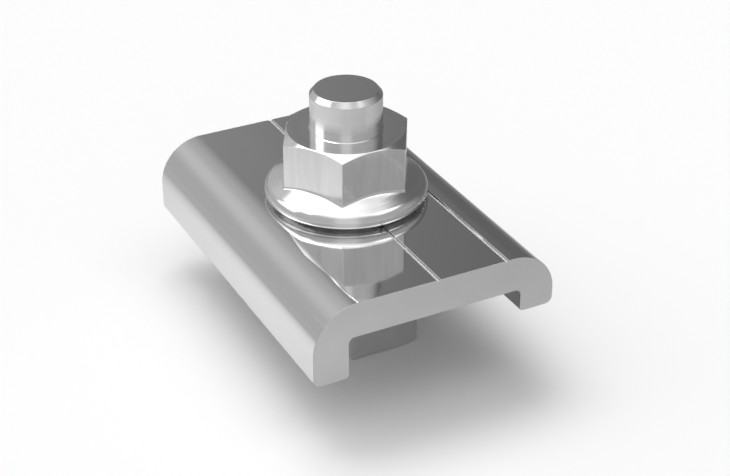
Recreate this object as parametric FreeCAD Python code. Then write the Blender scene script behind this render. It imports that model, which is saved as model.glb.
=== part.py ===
import FreeCAD, Part
import math
import os

# Clamp for fastening solar modules to a slotted rail: an extruded plate, a hammer-head bolt and a flange nut.
# Millimetres, +Z up. The bolt stands on its head with the centre of the head's base at the origin.
# The plate's long leg is at -X, its short leg at +X, and the extrusion runs along Y.

# Clamp plate
plate_length = 50.0
plate_width = 34.5
web_thickness = 4.9
leg_thickness = 4.9
long_leg_drop = 10.75
short_leg_drop = 8.25
long_shoulder_radius = 6.3
short_shoulder_radius = 6.1
foot_outer_radius = 1.0
foot_inner_radius = 0.5
channel_corner_radius = 0.8
groove_width = 0.76
groove_depth = 0.42
side_groove_offset = 10.0

# Hammer-head bolt, M10 x 30
shank_radius = 4.85
bolt_length = 30.0
tip_chamfer_radial = 0.58
tip_chamfer_axial = 0.70
head_length = 23.0
head_side_overhang = 0.25
head_thickness = 4.5
head_relief_start = 3.1
head_relief_radius = 10.4
head_base_radius = 0.3
neck_radius = 0.22

# Flange nut, M10
across_flats = 16.0
hexagon_corner_radius = 0.2
nut_height = 10.0
crown_angle = 32.0
flange_radius = 11.05
flange_slope = 28.0
flange_root_height = 3.0
bearing_radius = 9.6
rim_underside_height = 0.62
rim_top_radius = 1.5
rim_bottom_radius = 0.75
rim_top_share = 0.65
bearing_countersink = 0.9
bore_countersink = 0.09

# Fits
thread_clearance = 0.06
plate_hole_clearance = 0.72
seat_clearance = 0.02
tip_stand_out = 5.6

# Heights that follow from the sizes above
bolt_tip_z = head_thickness + bolt_length
nut_base_z = bolt_tip_z - tip_stand_out - nut_height
plate_top_z = nut_base_z - seat_clearance

up = FreeCAD.Vector(0, 0, 1)


def in_profile(x, z):
    """A point of a section drawn in the XZ plane."""
    return FreeCAD.Vector(x, 0, z)


def rounded_wire(corners):
    """A closed wire through (point, radius) corners, each rounded by a tangent arc."""
    starts, arcs, ends = [], [], []
    for i, (corner, radius) in enumerate(corners):
        before = (corners[i - 1][0] - corner).normalize()
        after = (corners[(i + 1) % len(corners)][0] - corner).normalize()
        if radius == 0:
            starts.append(corner)
            arcs.append(None)
            ends.append(corner)
            continue
        half = before.getAngle(after) / 2
        middle = (before + after).normalize()
        reach = radius / math.tan(half)
        arc_middle = corner + middle * (radius / math.sin(half) - radius)
        starts.append(corner + before * reach)
        ends.append(corner + after * reach)
        arcs.append(Part.Arc(starts[-1], arc_middle, ends[-1]))
    edges = []
    for i, arc in enumerate(arcs):
        if arc:
            edges.append(arc.toShape())
        following = starts[(i + 1) % len(starts)]
        if (following - ends[i]).Length > 1e-6:
            edges.append(Part.LineSegment(ends[i], following).toShape())
    return Part.Wire(edges)


def revolved(corners):
    """A solid of revolution about Z from (r, z, radius) corners."""
    wire = rounded_wire([(in_profile(r, z), radius) for r, z, radius in corners])
    return Part.Face(wire).revolve(FreeCAD.Vector(0, 0, 0), up, 360)


def plate_section():
    """The extrusion's outline: web, long leg at -X and short leg at +X, with its top at z = 0."""
    half_width = plate_width / 2
    inner = half_width - leg_thickness
    long_shoulder = min(long_shoulder_radius, long_leg_drop - foot_outer_radius)
    short_shoulder = min(short_shoulder_radius, short_leg_drop - foot_outer_radius)
    corners = [
        (-half_width, 0, long_shoulder),
        (half_width, 0, short_shoulder),
        (half_width, -short_leg_drop, foot_outer_radius),
        (inner, -short_leg_drop, foot_inner_radius),
        (inner, -web_thickness, channel_corner_radius),
        (-inner, -web_thickness, channel_corner_radius),
        (-inner, -long_leg_drop, foot_inner_radius),
        (-half_width, -long_leg_drop, foot_outer_radius),
    ]
    return rounded_wire([(in_profile(x, z), radius) for x, z, radius in corners])


def along_plate(wire):
    """A section drawn at y = 0, extruded along Y over the plate's whole length."""
    bar = Part.Face(wire).extrude(FreeCAD.Vector(0, plate_length, 0))
    return bar.translate(FreeCAD.Vector(0, -plate_length / 2, 0))


def v_groove(x):
    """The wedge cut out for one V groove, with its mouth at z = 0."""
    half_mouth = groove_width / 2
    mouth = [in_profile(x - half_mouth, 0), in_profile(x, -groove_depth), in_profile(x + half_mouth, 0)]
    return along_plate(Part.makePolygon(mouth + mouth[:1]))


def make_clamp_plate():
    plate = along_plate(plate_section())
    for x in (0, side_groove_offset):
        plate = plate.cut(v_groove(x))
    hole_radius = shank_radius + plate_hole_clearance
    hole = Part.makeCylinder(hole_radius, web_thickness, FreeCAD.Vector(0, 0, -web_thickness))
    return plate.cut(hole).translate(FreeCAD.Vector(0, 0, plate_top_z))


def head_outline():
    """The hammer head seen from above: square corners at -X -Y and +X +Y, relieved ones between them.

    The relief is an arc tangent to the short end, so the head can turn inside the rail's slot.
    """
    half_width, half_length = shank_radius + head_side_overhang, head_length / 2
    bend_x = half_width - head_relief_start

    def on_relief(x):
        turn = math.asin((x - bend_x) / head_relief_radius)
        return FreeCAD.Vector(x, head_relief_radius * (1 - math.cos(turn)) - half_length, 0)

    half = [
        Part.LineSegment(FreeCAD.Vector(-half_width, -half_length, 0), on_relief(bend_x)),
        Part.Arc(on_relief(bend_x), on_relief((bend_x + half_width) / 2), on_relief(half_width)),
        Part.LineSegment(on_relief(half_width), FreeCAD.Vector(half_width, half_length, 0)),
    ]
    first = [curve.toShape() for curve in half]
    second = [edge.rotated(FreeCAD.Vector(0, 0, 0), up, 180) for edge in first]
    return Part.Wire(first + second)


def make_hammer_head_bolt():
    head = Part.Face(head_outline()).extrude(up * head_thickness)
    base_rim = [edge for edge in head.Edges if abs(edge.BoundBox.ZMax) < 1e-6]
    head = head.makeFillet(head_base_radius, base_rim)
    flat_tip = shank_radius - tip_chamfer_radial
    shank = revolved([
        (0, 0, 0),
        (shank_radius, 0, 0),
        (shank_radius, bolt_tip_z - tip_chamfer_axial, 0),
        (flat_tip, bolt_tip_z, 0),
        (0, bolt_tip_z, 0),
    ])
    bolt = head.fuse(shank).removeSplitter()
    neck = [edge for edge in bolt.Edges if is_neck(edge)]
    return bolt.makeFillet(min(neck_radius, 0.9 * head_side_overhang), neck)


def is_neck(edge):
    """Is this the circle where the shank meets the head's shoulder?"""
    box = edge.BoundBox
    on_shoulder = abs(box.ZMin - head_thickness) < 1e-3 and box.ZLength < 1e-3
    return on_shoulder and abs(box.XMax - shank_radius) < 1e-3 and abs(box.YMax - shank_radius) < 1e-3


def hexagon_vertex_radius():
    """Distance of the hexagon's sharp corners from the axis."""
    return across_flats / math.sqrt(3)


def hexagon_body():
    """The hexagon with rounded corners, of which one lies on the X axis, crowned by a cone at its top."""
    reach = hexagon_vertex_radius()
    turns = [math.radians(60 * i) for i in range(7)]
    corners = [FreeCAD.Vector(reach * math.cos(a), reach * math.sin(a), 0) for a in turns]
    prism = Part.Face(Part.makePolygon(corners)).extrude(up * nut_height)
    upright = [edge for edge in prism.Edges if edge.BoundBox.ZLength > nut_height / 2]
    prism = prism.makeFillet(hexagon_corner_radius, upright)
    crown_radius = across_flats / 2
    crown_drop = (flange_radius - crown_radius) * math.tan(math.radians(crown_angle))
    crown = revolved([
        (0, 0, 0),
        (flange_radius, 0, 0),
        (flange_radius, nut_height - crown_drop, 0),
        (crown_radius, nut_height, 0),
        (0, nut_height, 0),
    ])
    return prism.common(crown)


def flange_top_z(r):
    """Height of the flange's conical top at the distance r from the axis."""
    return flange_root_height + (hexagon_vertex_radius() - r) * math.tan(math.radians(flange_slope))


def flange_body():
    """The flange: a bearing ring, an underside that rises to the rim, and a conical top.

    The rim is round above and below, and each radius stays within its share of the rim's wall.
    """
    rim_top_z = flange_top_z(flange_radius)
    rim_wall = rim_top_z - rim_underside_height
    underside_angle = math.atan2(rim_underside_height, flange_radius - bearing_radius)
    half_top_corner = math.radians(90 + flange_slope) / 2
    half_bottom_corner = (math.pi / 2 + underside_angle) / 2
    top_radius = min(rim_top_radius, rim_top_share * rim_wall * math.tan(half_top_corner))
    bottom_radius = min(rim_bottom_radius, (1 - rim_top_share) * rim_wall * math.tan(half_bottom_corner))
    return revolved([
        (0, 0, 0),
        (bearing_radius, 0, 0),
        (flange_radius, rim_underside_height, bottom_radius),
        (flange_radius, rim_top_z, top_radius),
        (0, flange_top_z(0), 0),
    ])


def make_flange_nut():
    """The nut, with its bore a running fit on the shank and countersunk at both ends."""
    bore_radius = shank_radius + thread_clearance
    bore = revolved([
        (0, 0, 0),
        (bore_radius + bearing_countersink, 0, 0),
        (bore_radius, bearing_countersink, 0),
        (bore_radius, nut_height - bore_countersink, 0),
        (bore_radius + bore_countersink, nut_height, 0),
        (0, nut_height, 0),
    ])
    nut = hexagon_body().fuse(flange_body()).removeSplitter().cut(bore)
    return nut.translate(FreeCAD.Vector(0, 0, nut_base_z))


parts = {
    "clamp_plate": make_clamp_plate(),
    "hammer_head_bolt": make_hammer_head_bolt(),
    "flange_nut": make_flange_nut(),
}

os.makedirs("parts", exist_ok=True)
for name, shape in parts.items():
    box = shape.BoundBox
    print(
        f"{name}: {len(shape.Solids)} solid, {shape.Volume:.0f} mm3, valid {shape.isValid()},"
        f" X {box.XMin:.2f} to {box.XMax:.2f}, Y {box.YMin:.2f} to {box.YMax:.2f}, Z {box.ZMin:.2f} to {box.ZMax:.2f}"
    )
    shape.exportStep(f"parts/{name}.step")
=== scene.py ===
import math

import bmesh
import bpy
from mathutils import Matrix, Vector


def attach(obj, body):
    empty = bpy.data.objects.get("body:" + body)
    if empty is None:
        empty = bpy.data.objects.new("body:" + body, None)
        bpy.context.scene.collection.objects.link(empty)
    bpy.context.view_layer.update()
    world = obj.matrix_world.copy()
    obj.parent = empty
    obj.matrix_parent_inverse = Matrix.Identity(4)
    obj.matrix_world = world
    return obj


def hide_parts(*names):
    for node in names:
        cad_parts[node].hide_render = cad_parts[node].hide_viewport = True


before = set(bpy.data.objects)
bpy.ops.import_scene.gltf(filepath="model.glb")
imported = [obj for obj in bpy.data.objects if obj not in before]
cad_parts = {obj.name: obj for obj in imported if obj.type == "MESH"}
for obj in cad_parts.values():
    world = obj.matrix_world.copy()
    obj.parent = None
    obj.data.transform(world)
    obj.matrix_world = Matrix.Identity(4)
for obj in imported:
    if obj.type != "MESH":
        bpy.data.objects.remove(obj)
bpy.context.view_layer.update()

# Clamp for a solar module rail: an extruded plate, a hammer-head bolt and a flange nut.
# Sizes are in millimetres, +Z is up, and the centre of the bolt head's base is the origin.
mm = 0.001
scene = bpy.context.scene


def addNode(tree, kind, inputs=None, **settings):
    # one node with its settings; an input takes a value, or the node or socket that feeds it
    node = tree.nodes.new(kind)
    for name, value in settings.items():
        setattr(node, name, value)
    for name, value in (inputs or {}).items():
        if isinstance(value, bpy.types.Node):
            value = value.outputs[0]
        if isinstance(value, bpy.types.NodeSocket):
            tree.links.new(value, node.inputs[name])
        else:
            node.inputs[name].default_value = value
    return node


def hexColour(code):
    # "#rrggbb" in sRGB to linear RGBA
    parts = [int(code[i:i + 2], 16) / 255 for i in (1, 3, 5)]
    linear = [c / 12.92 if c <= 0.04045 else ((c + 0.055) / 1.055) ** 2.4 for c in parts]
    return (*linear, 1.0)


def newObject(name, mesh):
    obj = bpy.data.objects.new(name, mesh)
    scene.collection.objects.link(obj)
    return obj


def meshFrom(name, points, faces=(), edges=()):
    # points in millimetres, the mesh in metres
    mesh = bpy.data.meshes.new(name)
    mesh.from_pydata([Vector(p) * mm for p in points], list(edges), list(faces))
    mesh.validate()
    return mesh


def applyModifiers(obj):
    # the evaluated object becomes a plain mesh, and its modifiers go
    depsgraph = bpy.context.evaluated_depsgraph_get()
    mesh = bpy.data.meshes.new_from_object(obj.evaluated_get(depsgraph))
    obj.modifiers.clear()
    obj.data = mesh
    return obj


def breakEdges(obj, width, angle, finish):
    # small round edges with a finish of their own, given as the number of its material slot
    bevel = obj.modifiers.new("edgeBreak", "BEVEL")
    bevel.width = width * mm
    bevel.segments = 4
    bevel.limit_method = "ANGLE"
    bevel.angle_limit = math.radians(angle)
    bevel.use_clamp_overlap = False
    bevel.material = finish


def finishSurface(obj, sharpest=20):
    # smooth over edges of less than this angle, with normals that lean to the larger faces,
    # so that flat faces stay optically flat
    mesh = obj.data
    limit = math.cos(math.radians(sharpest))
    around = [[] for vertex in mesh.vertices]
    for face in mesh.polygons:
        face.use_smooth = True
        for index in face.vertices:
            around[index].append((face.normal, (face.area / mm ** 2) ** 2))
    normals = []
    for face in mesh.polygons:
        for index in face.vertices:
            near = [normal * weight for normal, weight in around[index] if normal.dot(face.normal) > limit]
            normals.append(sum(near, Vector()).normalized())
    mesh.normals_split_custom_set(normals)
    return obj


def roundedOutline(corners, stepAngle):
    # closed 2D outline through (x, y, radius) corners, each rounded by a tangent arc
    outline = []
    for i, (x, y, radius) in enumerate(corners):
        corner = Vector((x, y))
        before = (Vector(corners[i - 1][:2]) - corner).normalized()
        after = (Vector(corners[(i + 1) % len(corners)][:2]) - corner).normalized()
        if radius == 0:
            outline.append(corner)
            continue
        half = before.angle(after) / 2
        centre = corner + (before + after).normalized() * radius / math.sin(half)
        start = corner + before * radius / math.tan(half) - centre
        sweep = start.angle_signed(corner + after * radius / math.tan(half) - centre)
        steps = max(2, round(abs(sweep) / math.radians(stepAngle)))
        for k in range(steps + 1):
            outline.append(centre + Matrix.Rotation(-sweep * k / steps, 2) @ start)
    return outline


def setInputs(modifier, values):
    # a Geometry Nodes modifier's inputs by their names, through the sockets' identifiers
    for item in modifier.node_group.interface.items_tree:
        if item.item_type == "SOCKET" and item.in_out == "INPUT" and item.name in values:
            modifier[item.identifier] = values[item.name]


def newTree(name, sizes):
    # a Geometry Nodes tree with a geometry input and output and one named input for each size
    tree = bpy.data.node_groups.new(name, "GeometryNodeTree")
    tree.interface.new_socket("Geometry", in_out="INPUT", socket_type="NodeSocketGeometry")
    tree.interface.new_socket("Geometry", in_out="OUTPUT", socket_type="NodeSocketGeometry")
    for size, kind in sizes.items():
        tree.interface.new_socket(size, in_out="INPUT", socket_type=kind)
    return tree, addNode(tree, "NodeGroupInput").outputs


def newMetal(name):
    # a metal's material, its tree and shader, and the piece's own coordinates in millimetres
    material = bpy.data.materials.new(name)
    material.use_nodes = True
    tree = material.node_tree
    tree.nodes.clear()
    shader = addNode(tree, "ShaderNodeBsdfPrincipled", {"Metallic": 1.0})
    addNode(tree, "ShaderNodeOutputMaterial", {"Surface": shader})
    own = addNode(tree, "ShaderNodeTexCoord").outputs["Object"]
    place = addNode(tree, "ShaderNodeVectorMath", {0: own, 3: 1 / mm}, operation="SCALE")
    return material, tree, shader, place


def roundAxis(tree, place, drift):
    # distance from the axis, height, and a little of x, so that marks run round the axis with uneven ends
    flat = addNode(tree, "ShaderNodeVectorMath", {0: place, 1: (1, 1, 0)}, operation="MULTIPLY")
    reach = addNode(tree, "ShaderNodeVectorMath", {0: flat}, operation="LENGTH").outputs["Value"]
    parts = addNode(tree, "ShaderNodeSeparateXYZ", {0: place}).outputs
    wander = addNode(tree, "ShaderNodeMath", {0: parts["X"], 1: drift}, operation="MULTIPLY")
    return addNode(tree, "ShaderNodeCombineXYZ", {0: reach, 1: parts["Z"], 2: wander})


noiseSpan = (0.3, 0.7)  # where most of a noise's values lie


def dressMetal(tree, shader, marks, patches, finish):
    # fine marks change the height and the roughness, and broad patches change the colour
    low, high = noiseSpan
    fine = addNode(tree, "ShaderNodeTexNoise", {
        "Vector": marks, "Scale": 1 / finish["markSize"], "Detail": 3.0})
    broad = addNode(tree, "ShaderNodeTexNoise", {
        "Vector": patches, "Scale": 1 / finish["patchSize"], "Detail": 2.0})
    tone = addNode(tree, "ShaderNodeMapRange", {"Value": broad, "From Min": low, "From Max": high})
    colour = addNode(tree, "ShaderNodeMix", {
        0: tone, 6: hexColour(finish["dark"]), 7: hexColour(finish["light"])}, data_type="RGBA")
    smooth, rough = finish["roughness"]
    roughness = addNode(tree, "ShaderNodeMapRange", {
        "Value": fine, "From Min": low, "From Max": high, "To Min": smooth, "To Max": rough})
    bump = addNode(tree, "ShaderNodeBump", {
        "Height": fine, "Strength": 1.0, "Distance": finish["depth"] * mm})
    tree.links.new(colour.outputs[2], shader.inputs["Base Color"])
    tree.links.new(roughness.outputs[0], shader.inputs["Roughness"])
    tree.links.new(bump.outputs[0], shader.inputs["Normal"])


extruded = {
    "light": "#eaeaea",
    "dark": "#e5e5e5",
    "roughness": (0.045, 0.085),
    "markSize": 0.35,
    "depth": 0.0012,
    "patchSize": 9.0,
    # how fast the marks and the patches change along each axis
    "markRate": (1, 0.004, 1),
    "patchRate": (1, 0.1, 1),
}


def extrudedAluminiumFinish():
    # 6063 aluminium as the die leaves it: bright, with straight faint lines along the bar
    # real die lines are about 0.1 mm apart, and these are 0.35 mm, the finest that shows
    material, tree, shader, place = newMetal("extrudedAluminium")
    lines = addNode(tree, "ShaderNodeVectorMath", {0: place, 1: extruded["markRate"]},
                    operation="MULTIPLY")
    streaks = addNode(tree, "ShaderNodeVectorMath", {0: place, 1: extruded["patchRate"]},
                      operation="MULTIPLY")
    dressMetal(tree, shader, lines, streaks, extruded)
    return material


sawn = {
    "light": "#e3e3e4",
    "dark": "#dedede",
    "roughness": (0.29, 0.34),
    "markSize": 0.45,
    "depth": 0.004,
    "patchSize": 6.0,
    "bladeCentre": (-60.0, 0.0, -110.0),
    "drift": 0.08,
}


def sawnAluminiumFinish():
    # cut to length by a fine circular saw: an even satin face with shallow arcs about the blade's axis
    # the teeth leave arcs about 0.1 mm apart, drawn here 0.45 mm apart
    material, tree, shader, place = newMetal("sawnAluminium")
    radius = addNode(tree, "ShaderNodeVectorMath", {0: place, 1: sawn["bladeCentre"]},
                     operation="DISTANCE")
    parts = addNode(tree, "ShaderNodeSeparateXYZ", {0: place}).outputs
    drift = addNode(tree, "ShaderNodeMath", {0: parts["X"], 1: sawn["drift"]}, operation="MULTIPLY")
    arcs = addNode(tree, "ShaderNodeCombineXYZ", {0: radius.outputs["Value"], 1: drift})
    dressMetal(tree, shader, arcs, place, sawn)
    return material


burnished = {
    "light": "#d1d1d1",
    "dark": "#c5c5c5",
    "roughness": (0.42, 0.5),
    "markSize": 0.4,
    "depth": 0.0008,
    "patchSize": 3.0,
}


def burnishedEdgeFinish():
    # edges and groove roots rubbed in deburring: satin, seen as thin pale lines on the mirror-like plate
    material, tree, shader, place = newMetal("burnishedEdge")
    dressMetal(tree, shader, place, place, burnished)
    return material


drawn = {
    "light": "#f6f6f6",
    "dark": "#ebebeb",
    "roughness": (0.1, 0.16),
    "markSize": 1.0,
    "depth": 0.004,
    "patchSize": 1.2,
    # the streaks sway over waveSize by up to waveReach, and change slowly up the flat
    "waveSize": 4.0,
    "waveReach": (1.5, 1.5, 0),
    "streakRate": (1, 1, 0.12),
}


def drawnSteelFinish():
    # the nut's flats, pressed from drawn stainless wire: bright, with faint wavy streaks up the flats
    material, tree, shader, place = newMetal("drawnSteel")
    wave = addNode(tree, "ShaderNodeTexNoise", {
        "Vector": place, "Scale": 1 / drawn["waveSize"], "Detail": 0.0}).outputs["Color"]
    bent = addNode(tree, "ShaderNodeVectorMath", {0: wave, 1: drawn["waveReach"], 2: place},
                   operation="MULTIPLY_ADD")
    upright = addNode(tree, "ShaderNodeVectorMath", {0: bent, 1: drawn["streakRate"]},
                      operation="MULTIPLY")
    dressMetal(tree, shader, upright, upright, drawn)
    return material


faced = {
    "light": "#efefef",
    "dark": "#e9e9e9",
    "roughness": (0.05, 0.09),
    "anisotropy": 0.5,
    "markSize": 0.3,
    "drift": 0.03,
    "depth": 0.0004,
    "patchSize": 1.5,
}

flanged = {
    "light": "#f4f4f4",
    "dark": "#ececec",
    "roughness": (0.1, 0.16),
    "anisotropy": 0.85,
    "markSize": 0.5,
    "drift": 0.12,
    "depth": 0.012,
    "patchSize": 0.8,
}

rolled = {
    "light": "#fbfbfb",
    "dark": "#f3f3f3",
    "roughness": (0.17, 0.24),
    "anisotropy": 0.85,
    "markSize": 0.5,
    "drift": 0.08,
    "depth": 0.003,
    "patchSize": 1.2,
}


def ringedSteelFinish(name, finish):
    # stainless steel turned or rolled round its axis: fine rings that draw reflections out across them
    # the real rings are about 0.05 mm apart, and these are 0.3 to 0.5 mm, the finest that show
    material, tree, shader, place = newMetal(name)
    shader.inputs["Anisotropic"].default_value = finish["anisotropy"]
    shader.inputs["Anisotropic Rotation"].default_value = 0.25  # a quarter turn: across the rings
    tangent = addNode(tree, "ShaderNodeTangent", direction_type="RADIAL", axis="Z")
    tree.links.new(tangent.outputs[0], shader.inputs["Tangent"])
    rings = roundAxis(tree, place, finish["drift"])
    dressMetal(tree, shader, rings, rings, finish)
    return material


# painted shade: a greyer, duller steel for the nut's underside, which darkens the gap between the nut's rim
# and the plate
paintedUnderShade = {
    "light": "#d6d6d6",
    "dark": "#c9c9c9",
    "roughness": (0.12, 0.2),
    "markSize": 0.5,
    "drift": 0.1,
    "depth": 0.002,
    "patchSize": 2.0,
}


def paintedUnderShadeSteelFinish():
    # the nut's underside, a greyer and duller steel than the rest: painted shade for the gap between the
    # nut's rim and the plate
    material, tree, shader, place = newMetal("paintedUnderShadeSteel")
    rings = roundAxis(tree, place, paintedUnderShade["drift"])
    dressMetal(tree, shader, rings, place, paintedUnderShade)
    return material


headed = {
    "light": "#f2f2f2",
    "dark": "#e9e9e9",
    "roughness": (0.09, 0.16),
    "markSize": 0.35,
    "depth": 0.002,
    "patchSize": 2.5,
}


def headedSteelFinish():
    # the bolt's head, cold formed from wire: bright, with a fine pebbled grain
    # the real grain is about 0.1 mm across, and this one is 0.35 mm, the finest that shows
    material, tree, shader, place = newMetal("headedSteel")
    dressMetal(tree, shader, place, place, headed)
    return material


extrudedAluminium = extrudedAluminiumFinish()
sawnAluminium = sawnAluminiumFinish()
burnishedEdge = burnishedEdgeFinish()
drawnSteel = drawnSteelFinish()
facedSteel = ringedSteelFinish("facedSteel", faced)
flangeSteel = ringedSteelFinish("flangeSteel", flanged)
rolledSteel = ringedSteelFinish("rolledSteel", rolled)
paintedUnderShadeSteel = paintedUnderShadeSteelFinish()
headedSteel = headedSteelFinish()
print("finishes:", len(bpy.data.materials), "materials")


plate = {
    "length": 50.0,
    "width": 34.5,
    "web": 4.9,
    "leg": 4.9,
    "longDrop": 10.75,
    "shortDrop": 8.25,
    "longShoulder": 6.3,
    "shortShoulder": 6.1,
    "footOuter": 1.0,
    "footInner": 0.5,
    "channelCorner": 0.8,
    "grooves": (0.08, 10.0),
    # one side of a groove from its edge to its root: distance from its middle, and depth
    "grooveFlank": ((0.36, 0.0), (0.31, 0.04), (0.22, 0.04), (0.13, 0.18), (0.0, 0.2)),
    "rubbedRise": (0.6, 0.995),  # rise of the normals on a groove's root and broken edges
    "topZ": 18.88,
    "holeRadius": 5.57,
    "holeSides": 240,
    "endFacing": 0.99,
    "arcStep": 1.5,
    "edgeBreak": 0.03,
    "edgeAngle": 75,
}


def plateOutline():
    # the extrusion's section, x across and y up, with its top at the plate's height
    half, inner = plate["width"] / 2, plate["width"] / 2 - plate["leg"]
    corners = [(-half, 0, plate["longShoulder"])]
    for x in plate["grooves"]:
        flank = plate["grooveFlank"]
        corners += [(x - out, -depth, 0) for out, depth in flank]
        corners += [(x + out, -depth, 0) for out, depth in reversed(flank[:-1])]
    corners += [
        (half, 0, plate["shortShoulder"]),
        (half, -plate["shortDrop"], plate["footOuter"]),
        (inner, -plate["shortDrop"], plate["footInner"]),
        (inner, -plate["web"], plate["channelCorner"]),
        (-inner, -plate["web"], plate["channelCorner"]),
        (-inner, -plate["longDrop"], plate["footInner"]),
        (-half, -plate["longDrop"], plate["footOuter"]),
    ]
    return [(p.x, p.y + plate["topZ"], 0) for p in roundedOutline(corners, plate["arcStep"])]


def extrusionTree():
    # sweeps the section along Y, drills the bolt hole and gives the two sawn ends their own finish
    tree, given = newTree("extrusion", {
        "Length": "NodeSocketFloat",
        "Hole Radius": "NodeSocketFloat",
        "Hole Height": "NodeSocketFloat",
        "Skin": "NodeSocketMaterial",
        "Ends": "NodeSocketMaterial",
    })
    section = addNode(tree, "GeometryNodeMeshToCurve", {"Mesh": given["Geometry"]})
    half = addNode(tree, "ShaderNodeMath", {0: given["Length"], 1: 0.5}, operation="MULTIPLY")
    minusHalf = addNode(tree, "ShaderNodeMath", {0: given["Length"], 1: -0.5}, operation="MULTIPLY")
    low = addNode(tree, "ShaderNodeCombineXYZ", {"Z": minusHalf})
    high = addNode(tree, "ShaderNodeCombineXYZ", {"Z": half})
    path = addNode(tree, "GeometryNodeCurvePrimitiveLine", {"Start": low, "End": high})
    bar = addNode(tree, "GeometryNodeCurveToMesh", {
        "Curve": path, "Profile Curve": section, "Fill Caps": True})
    laid = addNode(tree, "GeometryNodeTransform", {"Geometry": bar, "Rotation": (math.pi / 2, 0, 0)})
    drill = addNode(tree, "GeometryNodeMeshCylinder", {
        "Vertices": plate["holeSides"], "Radius": given["Hole Radius"], "Depth": 2 * plate["web"] * mm},
        fill_type="NGON")
    height = addNode(tree, "ShaderNodeCombineXYZ", {"Z": given["Hole Height"]})
    placed = addNode(tree, "GeometryNodeTransform", {"Geometry": drill, "Translation": height})
    drilled = addNode(tree, "GeometryNodeMeshBoolean", {"Mesh 1": laid, "Mesh 2": placed},
                      operation="DIFFERENCE", solver="EXACT")
    single = addNode(tree, "GeometryNodeRealizeInstances", {"Geometry": drilled})
    skin = addNode(tree, "GeometryNodeSetMaterial", {"Geometry": single, "Material": given["Skin"]})
    normal = addNode(tree, "ShaderNodeSeparateXYZ", {0: addNode(tree, "GeometryNodeInputNormal")}).outputs
    facing = addNode(tree, "ShaderNodeMath", {0: normal["Y"]}, operation="ABSOLUTE")
    isEnd = addNode(tree, "FunctionNodeCompare", {0: facing, 1: plate["endFacing"]},
                    data_type="FLOAT", operation="GREATER_THAN")
    ends = addNode(tree, "GeometryNodeSetMaterial", {
        "Geometry": skin, "Selection": isEnd, "Material": given["Ends"]})
    addNode(tree, "NodeGroupOutput", {0: ends})
    return tree


def makeClampPlate():
    outline = plateOutline()
    edges = [(i, (i + 1) % len(outline)) for i in range(len(outline))]
    obj = newObject("clampPlate", meshFrom("clampPlate", outline, edges=edges))
    extrude = obj.modifiers.new("extrusion", "NODES")
    extrude.node_group = extrusionTree()
    setInputs(extrude, {
        "Length": plate["length"] * mm,
        "Hole Radius": plate["holeRadius"] * mm,
        "Hole Height": (plate["topZ"] - plate["web"] / 2) * mm,
        "Skin": extrudedAluminium,
        "Ends": sawnAluminium,
    })
    mesh = applyModifiers(obj).data
    mesh.materials.pop(index=0)
    mesh.materials.append(burnishedEdge)
    rubbed = len(mesh.materials) - 1
    mouth = plate["grooveFlank"][0][0]
    lowest, highest = plate["rubbedRise"]
    for face in mesh.polygons:
        off = min(abs(face.center.x / mm - x) for x in plate["grooves"])
        if off < mouth and lowest < face.normal.z < highest:
            face.material_index = rubbed
    breakEdges(obj, plate["edgeBreak"], plate["edgeAngle"], rubbed)
    return finishSurface(applyModifiers(obj))


clampPlate = makeClampPlate()
print("clamp plate:", len(clampPlate.data.polygons), "faces")


nut = {
    "acrossFlats": 16.0,
    "height": 10.0,
    "crownAngle": 32.0,
    "cornerRadius": 0.2,
    "flangeRadius": 11.05,
    "flangeSlope": 28.0,
    "flangeRoot": 3.0,
    "bearingRadius": 9.6,
    "rimUnderside": 0.62,
    "rimTopRadius": 1.5,
    "rimBottomRadius": 0.75,
    "rootRadius": 0.5,
    "boreRadius": 4.91,
    "bearingCountersink": 0.9,
    "lipRadius": 4.86,
    "lipWidth": 0.12,
    "lipHeight": 0.07,
    "baseZ": 18.90,
    "faceSteps": 36,
    "crownRadius": 7.9,
    "edgeBreak": 0.06,
    "arcStep": 7.5,
    "paintedUnderShadeRise": -0.55,  # the normals of the underside's painted-shade faces rise by less
    "levelRise": 0.01,
}


def hexagonOutline():
    # the hexagon with vertices on the X axis and slightly rounded corners, with points along its flats
    reach = nut["acrossFlats"] / math.sqrt(3)
    corners = []
    for i in range(6):
        turn = math.radians(60 * i)
        corners.append((reach * math.cos(turn), reach * math.sin(turn), nut["cornerRadius"]))
    arcs = roundedOutline(corners, nut["arcStep"])
    perCorner = len(arcs) // 6
    outline = []
    for i in range(6):
        arc = arcs[i * perCorner:(i + 1) * perCorner]
        following = arcs[(i + 1) * perCorner % len(arcs)]
        outline += arc
        outline += [arc[-1].lerp(following, k / nut["faceSteps"]) for k in range(1, nut["faceSteps"])]
    return outline


def nutSection(side):
    # (r, z) points of the section through a point of the hexagon's outline, side away from the axis
    slope = math.tan(math.radians(nut["flangeSlope"]))
    vertex = nut["acrossFlats"] / math.sqrt(3)
    rimTop = nut["flangeRoot"] - (nut["flangeRadius"] - vertex) * slope
    coneZ = rimTop + (nut["flangeRadius"] - side) * slope
    crown = nut["crownRadius"]
    crownZ = nut["height"] - (side - crown) * math.tan(math.radians(nut["crownAngle"]))
    bore, sink = nut["boreRadius"], nut["bearingCountersink"]
    soft = nut["edgeBreak"]
    corners = [
        (bore, sink, 0),
        (bore + sink, 0, 0),
        (nut["bearingRadius"], 0, 0),
        (nut["flangeRadius"], nut["rimUnderside"], nut["rimBottomRadius"]),
        (nut["flangeRadius"], rimTop, nut["rimTopRadius"]),
        (side, coneZ, nut["rootRadius"]),
        (side, crownZ, soft),
        (crown, nut["height"], soft),
        (nut["lipRadius"] + nut["lipWidth"], nut["height"], 0),
        (nut["lipRadius"], nut["height"] + nut["lipHeight"], 0),
        (nut["lipRadius"], nut["height"] - nut["lipHeight"], 0),
        (bore, nut["height"] - 2 * nut["lipHeight"], 0),
    ]
    return roundedOutline(corners, nut["arcStep"])


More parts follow.
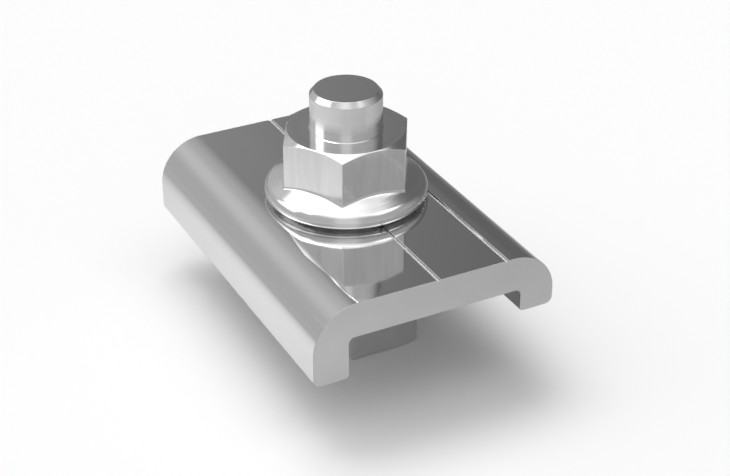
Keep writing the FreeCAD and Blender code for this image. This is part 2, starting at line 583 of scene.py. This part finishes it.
def nutFinish(reach, height, rise):
    # the finish at a distance from the axis, a height above the bearing face and a rise of the normal
    # faces turned down take the underside's steel with painted shade
    if rise < nut["paintedUnderShadeRise"]:
        return paintedUnderShadeSteel
    onCone = height < nut["height"] / 2 and rise > nut["levelRise"]
    if onCone or reach > nut["bearingRadius"]:
        return flangeSteel
    if abs(rise) < nut["levelRise"] and reach > nut["crownRadius"]:
        return drawnSteel
    return facedSteel


def makeFlangeNut():
    outline = hexagonOutline()
    points, faces = [], []
    for p in outline:
        direction = p.normalized()
        for q in nutSection(p.length):
            points.append((direction.x * q.x, direction.y * q.x, q.y + nut["baseZ"]))
    rows, count = len(points) // len(outline), len(outline)
    for i in range(count):
        for k in range(rows):
            a, b = i * rows, (i + 1) % count * rows
            faces.append((a + k, b + k, b + (k + 1) % rows, a + (k + 1) % rows))
    obj = newObject("flangeNut", meshFrom("flangeNut", points, faces))
    finishes = [facedSteel, flangeSteel, drawnSteel, paintedUnderShadeSteel]
    for finish in finishes:
        obj.data.materials.append(finish)
    for face in obj.data.polygons:
        reach, height = face.center.xy.length / mm, face.center.z / mm - nut["baseZ"]
        face.material_index = finishes.index(nutFinish(reach, height, face.normal.z))
    return finishSurface(obj)


flangeNut = makeFlangeNut()
print("flange nut:", len(flangeNut.data.polygons), "faces")


bolt = {
    "shankRadius": 4.85,
    "tipZ": 34.5,
    "tipChamferRadial": 0.58,
    "tipChamferAxial": 0.70,
    "tipBlend": 0.12,
    "headLength": 23.0,
    "headOverhang": 0.25,
    "headThickness": 4.5,
    "reliefStart": 3.1,
    "reliefRadius": 10.4,
    "headBaseRadius": 0.3,
    "reliefSteps": 12,
    "neckRadius": 0.22,
    "neckMargin": 0.01,
    "buried": 1.5,
    "pitch": 1.5,
    "threadStart": 5.9,
    "threadEnd": 28.2,
    "threadFade": 0.03,  # share of the thread's length over which it fades in, and out again
    "runOutRadius": 0.2,
    "ridgeSunk": 0.05,
    "ridgeFoot": 1.35,
    "turnSteps": 120,
    "segments": 240,
    "arcStep": 7.5,
    "edgeBreak": 0.04,
    "crispAngle": 25,
    "faceMargin": 0.001,
    "tipEdge": 0.05,
    "tipRise": 0.8,
}
threadDepth = 0.6134 * bolt["pitch"]  # of an external metric thread
threadRoot = bolt["shankRadius"] - threadDepth


def headOutline():
    # the hammer head from above: square corners at -X -Y and +X +Y, relieved ones between them
    halfWidth = bolt["shankRadius"] + bolt["headOverhang"]
    halfLength, radius = bolt["headLength"] / 2, bolt["reliefRadius"]
    bend = halfWidth - bolt["reliefStart"]
    half = [Vector((-halfWidth, -halfLength))]
    lastTurn = math.asin(bolt["reliefStart"] / radius)
    for k in range(bolt["reliefSteps"] + 1):
        turn = lastTurn * k / bolt["reliefSteps"]
        half.append(Vector((bend + radius * math.sin(turn), radius * (1 - math.cos(turn)) - halfLength)))
    return half + [-p for p in half]


def makeHead():
    # the outline pushed up from a base whose rim is rounded, with its other edges just broken
    outline = headOutline()
    mesh = bmesh.new()
    base = mesh.faces.new([mesh.verts.new((p.x * mm, p.y * mm, 0)) for p in outline])
    raised = bmesh.ops.extrude_face_region(mesh, geom=[base])
    top = [v for v in raised["geom"] if isinstance(v, bmesh.types.BMVert)]
    bmesh.ops.translate(mesh, verts=top, vec=(0, 0, bolt["headThickness"] * mm))
    bmesh.ops.recalc_face_normals(mesh, faces=mesh.faces)
    baseRim = [e for e in mesh.edges if all(v.co.z < 1e-6 for v in e.verts)]
    bmesh.ops.bevel(mesh, geom=baseRim, offset=bolt["headBaseRadius"] * mm, segments=6, profile=0.5,
                    affect="EDGES", clamp_overlap=False)
    crisp = [e for e in mesh.edges if e.calc_face_angle(0) > math.radians(bolt["crispAngle"])]
    bmesh.ops.bevel(mesh, geom=crisp, offset=bolt["edgeBreak"] * mm, segments=4, profile=0.5,
                    affect="EDGES", clamp_overlap=False)
    data = bpy.data.meshes.new("head")
    mesh.to_mesh(data)
    mesh.free()
    return newObject("head", data)


def lathe(name, section, segments):
    # a closed turned shape about Z from (r, z) points that start and end on the axis
    points, faces = [(0, 0, section[0][1]), (0, 0, section[-1][1])], []
    inner = section[1:-1]
    for i in range(segments):
        turn = 2 * math.pi * i / segments
        points += [(r * math.cos(turn), r * math.sin(turn), z) for r, z in inner]
    rows = len(inner)
    for i in range(segments):
        a, b = 2 + i * rows, 2 + (i + 1) % segments * rows
        faces.append((0, b, a))
        faces.append((1, a + rows - 1, b + rows - 1))
        faces += [(a + k, b + k, b + k + 1, a + k + 1) for k in range(rows - 1)]
    return newObject(name, meshFrom(name, points, faces))


def makeShank():
    # the shank from inside the head to its tip, turned down to the thread's root where the thread runs
    crest, tip, head = bolt["shankRadius"], bolt["tipZ"], bolt["headThickness"]
    bottom, neck = head - bolt["buried"], crest + bolt["neckRadius"] + bolt["neckMargin"]
    blend = bolt["runOutRadius"]
    corners = [
        (0, bottom, 0),
        (neck, bottom, 0),
        (neck, head, 0),
        (crest, head, bolt["neckRadius"]),
        (crest, bolt["threadStart"] - threadDepth, blend),
        (threadRoot, bolt["threadStart"], blend),
        (threadRoot, bolt["threadEnd"], blend),
        (crest, bolt["threadEnd"] + threadDepth / 2, blend),
        (crest, tip - bolt["tipChamferAxial"], bolt["tipBlend"]),
        (crest - bolt["tipChamferRadial"], tip, bolt["edgeBreak"]),
        (0, tip, 0),
    ]
    return lathe("shank", [tuple(p) for p in roundedOutline(corners, bolt["arcStep"])], bolt["segments"])


def threadTree():
    # a ridge of the thread's section along a right-hand helix, which fades in and out at its ends
    tree, given = newTree("thread", {
        "Root Radius": "NodeSocketFloat",
        "Turns": "NodeSocketFloat",
        "Height": "NodeSocketFloat",
        "Start": "NodeSocketFloat",
        "Material": "NodeSocketMaterial",
    })
    helix = addNode(tree, "GeometryNodeCurveSpiral", {
        "Resolution": bolt["turnSteps"], "Rotations": given["Turns"], "Start Radius": given["Root Radius"],
        "End Radius": given["Root Radius"], "Height": given["Height"], "Reverse": True})
    upright = addNode(tree, "GeometryNodeSetCurveNormal", {"Curve": helix}, mode="Z_UP")
    along = addNode(tree, "GeometryNodeSplineParameter").outputs["Factor"]
    share = bolt["threadFade"]
    fadeIn = addNode(tree, "ShaderNodeMapRange", {"Value": along, "From Max": share})
    fadeOut = addNode(tree, "ShaderNodeMapRange", {
        "Value": along, "From Min": 1.0, "From Max": 1.0 - share})
    fade = addNode(tree, "ShaderNodeMath", {0: fadeIn, 1: fadeOut}, operation="MULTIPLY")
    ridge = addNode(tree, "GeometryNodeMeshToCurve", {"Mesh": given["Geometry"]})
    swept = addNode(tree, "GeometryNodeCurveToMesh", {
        "Curve": upright, "Profile Curve": ridge, "Scale": fade, "Fill Caps": True})
    lift = addNode(tree, "ShaderNodeCombineXYZ", {"Z": given["Start"]})
    placed = addNode(tree, "GeometryNodeTransform", {"Geometry": swept, "Translation": lift})
    single = addNode(tree, "GeometryNodeRealizeInstances", {"Geometry": placed})
    finished = addNode(tree, "GeometryNodeSetMaterial", {
        "Geometry": single, "Material": given["Material"]})
    addNode(tree, "NodeGroupOutput", {0: finished})
    return tree


def makeThread():
    # the ridge has a metric thread's crest and flanks, and its foot is sunk a little into the shank
    pitch, sunk = bolt["pitch"], bolt["ridgeSunk"]
    crest, foot, sunkFoot = pitch / 16, 7 * pitch / 16, bolt["ridgeFoot"] / 2
    ridge = [
        (-sunk, -sunkFoot, 0),
        (0, -foot, 0),
        (threadDepth, -crest, 0),
        (threadDepth, crest, 0),
        (0, foot, 0),
        (-sunk, sunkFoot, 0),
    ]
    edges = [(i, (i + 1) % len(ridge)) for i in range(len(ridge))]
    obj = newObject("thread", meshFrom("thread", ridge, edges=edges))
    sweep = obj.modifiers.new("thread", "NODES")
    sweep.node_group = threadTree()
    height = bolt["threadEnd"] - bolt["threadStart"]
    setInputs(sweep, {
        "Root Radius": threadRoot * mm,
        "Turns": height / pitch,
        "Height": height * mm,
        "Start": bolt["threadStart"] * mm,
        "Material": rolledSteel,
    })
    return applyModifiers(obj)


def joined(name, objects):
    # one mesh from several, whose own objects go
    whole = bmesh.new()
    for obj in objects:
        whole.from_mesh(obj.data)
        bpy.data.objects.remove(obj)
    data = bpy.data.meshes.new(name)
    whole.to_mesh(data)
    whole.free()
    return newObject(name, data)


def makeHammerHeadBolt():
    obj = joined("hammerHeadBolt", [makeHead(), makeShank(), makeThread()])
    finishes = [headedSteel, rolledSteel, facedSteel]
    for finish in finishes:
        obj.data.materials.append(finish)
    for face in obj.data.polygons:
        height = face.center.z / mm
        finish = rolledSteel
        if height < bolt["headThickness"] + bolt["faceMargin"]:
            finish = headedSteel
        elif height > bolt["tipZ"] - bolt["tipEdge"] and face.normal.z > bolt["tipRise"]:
            finish = facedSteel
        face.material_index = finishes.index(finish)
    return finishSurface(obj)


hammerHeadBolt = makeHammerHeadBolt()
print("hammer-head bolt:", len(hammerHeadBolt.data.polygons), "faces")

for piece, node, body, slot in (
    (clampPlate, "clamp_plate", "plate", "plate_aluminium"),
    (hammerHeadBolt, "hammer_head_bolt", "bolt", "bolt_steel"),
    (flangeNut, "flange_nut", "nut", "nut_steel"),
):
    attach(piece, body)
    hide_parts(node)


camera = {
    "place": (-86.63, -171.74, 125.62),
    "azimuth": -27.52,
    "elevation": 30.611,
    "roll": 0.14,
    "lens": 80.13,
    "sensor": 36.0,
    "clip": (0.01, 20.0),
}


def makeCamera():
    a, e = math.radians(camera["azimuth"]), math.radians(camera["elevation"])
    back = Vector((math.sin(a) * math.cos(e), -math.cos(a) * math.cos(e), math.sin(e)))
    data = bpy.data.cameras.new("camera")
    data.lens, data.sensor_width = camera["lens"], camera["sensor"]
    data.clip_start, data.clip_end = camera["clip"]
    obj = newObject("camera", data)
    obj.rotation_mode = "QUATERNION"
    obj.location = Vector(camera["place"]) * mm
    turn = (-back).to_track_quat("-Z", "Y").to_matrix()
    obj.rotation_quaternion = (turn @ Matrix.Rotation(math.radians(camera["roll"]), 3, "Z")).to_quaternion()
    scene.camera = obj
    return obj


makeCamera()

floor = {
    "reach": 3000.0,
    "colour": "#eeeeee",
    # painted reflection: the floor's colour that the metal mirrors, a darker level with a painted pool of
    # light at the left and painted shade at the back right
    "paintedMirrorTone": 0.42,
    "pool": 0.77,
    "poolCentre": (-13.0, 12.0, 0.0),
    "poolRadius": 8.0,
    "poolFade": 82.0,
    "paintedShadeSide": (33.0, 30.0, 121.0, 0.165),  # azimuth from +X, start and end distance, level
}

studio = {
    "power": 0.8,
    "surround": 0.58,
    "cards": {
        # azimuth from +X, half width and its fade, lowest and highest elevation and their fade, brightness
        "sideShade": (337, 44, 49, -90, 90, 5, 0.47),
        "frontFill": (243.5, 16.5, 8, -90, 90, 5, 0.82),
        "darkCard": (31, 40, 20, -90, 53, 15, 0.173),
        "backGlow": (110, 12, 10, 22, 43, 8, 0.74),
        "rightFill": (-35, 30, 14, 48, 68, 6, 2.2),
        "window": (149, 18, 4, 17, 75, 3, 2.0),
        "skylight": (145, 37, 5, 43, 90, 3, 2.4),
    },
    "overhead": (-0.56, 0.38, -0.59, 0.88, 0.34, 1.55),  # x/z and y/z spans, fade, brightness
    "key": (90, 45, 8, 50, 78, 6, 6.2),
    "horizon": 0.001,  # the overhead panel's spans are worked out no lower
}


def softSpan(tree, value, low, high, fade):
    # 1 inside the span, 0 outside it, with a soft edge
    rise = addNode(tree, "ShaderNodeMapRange", {
        "Value": value, "From Min": low - fade, "From Max": low + fade}, interpolation_type="SMOOTHSTEP")
    fall = addNode(tree, "ShaderNodeMapRange", {
        "Value": value, "From Min": high + fade, "From Max": high - fade}, interpolation_type="SMOOTHSTEP")
    return addNode(tree, "ShaderNodeMath", {0: rise, 1: fall}, operation="MULTIPLY")


def addCard(tree, level, direction, card):
    # lays one card over the light behind it
    azimuth, half, fade, low, high, soft, bright = card
    turned = addNode(tree, "ShaderNodeVectorRotate", {"Vector": direction, "Angle": -math.radians(azimuth)},
                     rotation_type="Z_AXIS")
    parts = addNode(tree, "ShaderNodeSeparateXYZ", {0: turned}).outputs
    turn = addNode(tree, "ShaderNodeMath", {0: parts["Y"], 1: parts["X"]}, operation="ARCTAN2")
    elevation = addNode(tree, "ShaderNodeMath", {0: parts["Z"]}, operation="ARCSINE")
    width = softSpan(tree, turn, -math.radians(half), math.radians(half), math.radians(fade))
    height = softSpan(tree, elevation, math.radians(low), math.radians(high), math.radians(soft))
    shape = addNode(tree, "ShaderNodeMath", {0: width, 1: height}, operation="MULTIPLY")
    return addNode(tree, "ShaderNodeMix", {0: shape, 2: level, 3: bright})


def makeStudio():
    # the world as cards laid over an even surround, which the camera itself sees as white
    world = bpy.data.worlds.new("studio")
    scene.world = world
    world.use_nodes = True
    tree = world.node_tree
    tree.nodes.clear()
    direction = addNode(tree, "ShaderNodeTexCoord").outputs["Generated"]
    level = studio["surround"]
    for card in studio["cards"].values():
        level = addCard(tree, level, direction, card)
    parts = addNode(tree, "ShaderNodeSeparateXYZ", {0: direction}).outputs
    rise = addNode(tree, "ShaderNodeMath", {0: parts["Z"], 1: studio["horizon"]}, operation="MAXIMUM")
    lowX, highX, lowY, highY, fade, bright = studio["overhead"]
    acrossX = addNode(tree, "ShaderNodeMath", {0: parts["X"], 1: rise}, operation="DIVIDE")
    acrossY = addNode(tree, "ShaderNodeMath", {0: parts["Y"], 1: rise}, operation="DIVIDE")
    panel = addNode(tree, "ShaderNodeMath", {
        0: softSpan(tree, acrossX, lowX, highX, fade),
        1: softSpan(tree, acrossY, lowY, highY, fade)}, operation="MULTIPLY")
    level = addNode(tree, "ShaderNodeMix", {0: panel, 2: level, 3: bright})
    level = addCard(tree, level, direction, studio["key"])
    seen = addNode(tree, "ShaderNodeLightPath").outputs["Is Camera Ray"]
    dimmed = addNode(tree, "ShaderNodeMath", {0: level, 1: studio["power"]}, operation="MULTIPLY")
    shown = addNode(tree, "ShaderNodeMix", {0: seen, 2: dimmed, 3: 1.0})
    light = addNode(tree, "ShaderNodeBackground", {"Color": (1, 1, 1, 1), "Strength": shown})
    addNode(tree, "ShaderNodeOutputWorld", {"Surface": light})


def makeFloor():
    reach = floor["reach"]
    corners = [(-reach, -reach, 0), (reach, -reach, 0), (reach, reach, 0), (-reach, reach, 0)]
    obj = newObject("floor", meshFrom("floor", corners, [(0, 1, 2, 3)]))
    material = bpy.data.materials.new("paleFloor")
    material.use_nodes = True
    tree = material.node_tree
    tree.nodes.clear()
    # the colour that glossy rays see is painted light and shade: a painted pool of light round the pool's
    # centre and painted shade towards the back right
    place = addNode(tree, "ShaderNodeTexCoord").outputs["Object"]
    centre = tuple(c * mm for c in floor["poolCentre"])
    away = addNode(tree, "ShaderNodeVectorMath", {0: place, 1: centre},
                   operation="DISTANCE").outputs["Value"]
    inner, outer = floor["poolRadius"] * mm, (floor["poolRadius"] + floor["poolFade"]) * mm
    near = addNode(tree, "ShaderNodeMapRange", {"Value": away, "From Min": outer, "From Max": inner},
                   interpolation_type="SMOOTHSTEP")
    lit = addNode(tree, "ShaderNodeMix", {0: near, 2: floor["paintedMirrorTone"], 3: floor["pool"]})
    azimuth, start, end, dark = floor["paintedShadeSide"]
    heading = (math.cos(math.radians(azimuth)), math.sin(math.radians(azimuth)), 0)
    back = addNode(tree, "ShaderNodeVectorMath", {0: place, 1: heading},
                   operation="DOT_PRODUCT").outputs["Value"]
    shade = addNode(tree, "ShaderNodeMapRange", {
        "Value": back, "From Min": start * mm, "From Max": end * mm}, interpolation_type="SMOOTHSTEP")
    paintedMirrorTone = addNode(tree, "ShaderNodeMix", {0: shade, 2: lit, 3: dark})
    # the camera sees the floor's even colour, and reflections see the painted light and shade
    glossy = addNode(tree, "ShaderNodeLightPath").outputs["Is Glossy Ray"]
    colour = addNode(tree, "ShaderNodeMix", {0: glossy, 6: hexColour(floor["colour"]), 7: paintedMirrorTone},
                     data_type="RGBA")
    matt = addNode(tree, "ShaderNodeBsdfDiffuse", {"Color": colour.outputs[2]})
    addNode(tree, "ShaderNodeOutputMaterial", {"Surface": matt})
    obj.data.materials.append(material)


makeStudio()
makeFloor()
scene.view_settings.view_transform = "Standard"
scene.cycles.glossy_bounces = 12  # between the nut's underside and the plate
